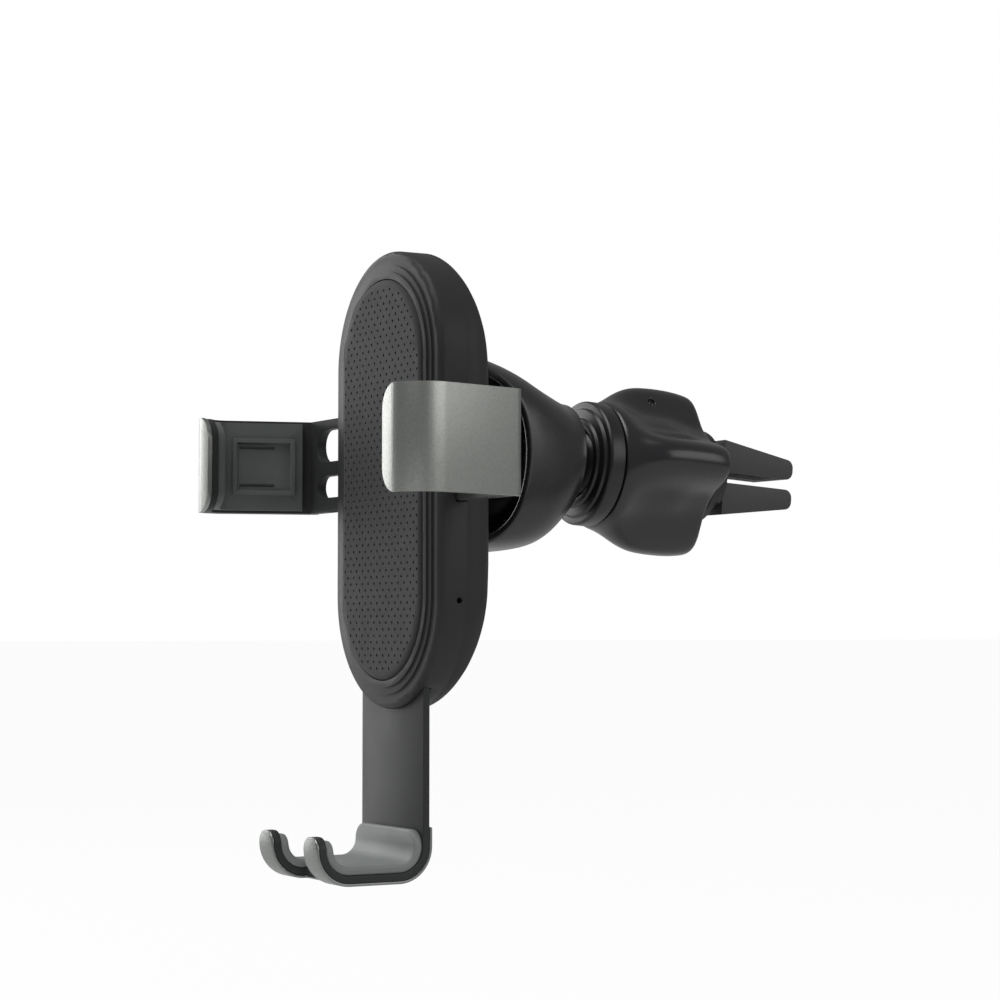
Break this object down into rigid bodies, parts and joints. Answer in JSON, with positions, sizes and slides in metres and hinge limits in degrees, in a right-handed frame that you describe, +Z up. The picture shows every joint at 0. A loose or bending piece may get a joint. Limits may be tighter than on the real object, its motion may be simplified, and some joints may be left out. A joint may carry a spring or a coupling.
{
  "type": "air vent phone holder",
  "caption": "Gravity phone holder for a car air vent: sliding foot draws two side arms in, ball joint tilts the holder, twist knob clamps two jaws on a vent blade.",
  "frame": {"origin": "centre of the pad's front face, which the phone's back rests on", "axes": "-Y out of the pad towards the phone, +Z up along the holder, +X to the right as seen from the phone's side"},
  "size_m": [0.0924, 0.1081, 0.1152],
  "materials": {
    "shell_black": "fine textured black moulded plastic",
    "hood_black": "semi-gloss black moulded plastic",
    "pad_rubber": "soft black pad with small pits",
    "slider_plastic": "dark grey moulded plastic",
    "cover_metal": "satin gunmetal anodised sheet",
    "trim_metal": "satin gunmetal anodised sheet with bright edges",
    "lining_rubber": "grey-green soft rubber",
    "grip_rubber": "dark grey-green soft rubber",
    "steel": "zinc plated steel",
    "joint_black": "polished black engineering plastic",
    "jaw_rubber": "matt black rubbery plastic"
  },
  "bodies": {
    "clip": {"clip_core": "joint_black", "socket_ring": "joint_black", "knob_ring": "steel", "jaw_pins": "steel"},
    "liner": {"socket_liner": "joint_black"},
    "stud": {"ball_stud": "joint_black", "neck_washer": "steel", "neck_screw": "steel"},
    "holder": {"front_shell": "shell_black", "rear_shell": "shell_black", "front_pad": "pad_rubber", "case_screws": "steel", "hood": "hood_black", "hood_screws": "steel", "return_spring": "steel"},
    "foot": {"foot_slider": "slider_plastic", "foot_trim": "trim_metal", "foot_pad": "lining_rubber"},
    "arm_left": {"left_arm": "slider_plastic", "left_arm_cover": "cover_metal", "left_arm_pad": "grip_rubber"},
    "arm_right": {"right_arm": "slider_plastic", "right_arm_cover": "cover_metal", "right_arm_pad": "grip_rubber"},
    "knob": {"clamp_knob": "hood_black"},
    "jaw_upper": {"upper_jaw": "jaw_rubber", "upper_jaw_pad": "jaw_rubber"},
    "jaw_lower": {"lower_jaw": "jaw_rubber", "lower_jaw_pad": "jaw_rubber"}
  },
  "joints": [
    {"name": "ball_pan", "type": "hinge", "parent": "clip", "child": "liner", "pos_m": [0, 0.047, 0.0041], "axis": [0, 0, 1], "range_deg": [-11, 11]},
    {"name": "ball_tilt", "type": "hinge", "parent": "liner", "child": "stud", "pos_m": [0, 0.047, 0.0041], "axis": [1, 0, 0], "range_deg": [-11, 11]},
    {"name": "holder_turn", "type": "hinge", "parent": "stud", "child": "holder", "pos_m": [0, 0.047, 0.0041], "axis": [0, 0.9976, -0.0698], "continuous": true},
    {"name": "foot_slide", "type": "slide", "parent": "holder", "child": "foot", "axis": [0, 0, 1], "range_m": [-0.008, 0.0045], "stiffness_N_per_m": 40, "springref_m": 0.0022, "deforming": ["return_spring"]},
    {"name": "left_arm_slide", "type": "slide", "parent": "holder", "child": "arm_left", "axis": [-1, 0, 0], "range_m": [-0.008, 0.0045]},
    {"name": "right_arm_slide", "type": "slide", "parent": "holder", "child": "arm_right", "axis": [1, 0, 0], "range_m": [-0.008, 0.0045]},
    {"name": "knob_turn", "type": "hinge", "parent": "clip", "child": "knob", "pos_m": [0, 0.047, 0.0041], "axis": [0, 0.9976, -0.0698], "range_deg": [-40, 120]},
    {"name": "upper_jaw_swing", "type": "hinge", "parent": "clip", "child": "jaw_upper", "pos_m": [0, 0.06469, 0.00617], "axis": [1, 0, 0], "range_deg": [-1.7, 5]},
    {"name": "lower_jaw_swing", "type": "hinge", "parent": "clip", "child": "jaw_lower", "pos_m": [0, 0.06423, -0.00041], "axis": [1, 0, 0], "range_deg": [-5, 1.7]}
  ],
  "couplings": [
    {"joint": "left_arm_slide", "follows": "foot_slide", "ratio": 1},
    {"joint": "right_arm_slide", "follows": "foot_slide", "ratio": 1},
    {"joint": "upper_jaw_swing", "follows": "knob_turn", "ratio": 0.04},
    {"joint": "lower_jaw_swing", "follows": "knob_turn", "ratio": -0.04}
  ]
}
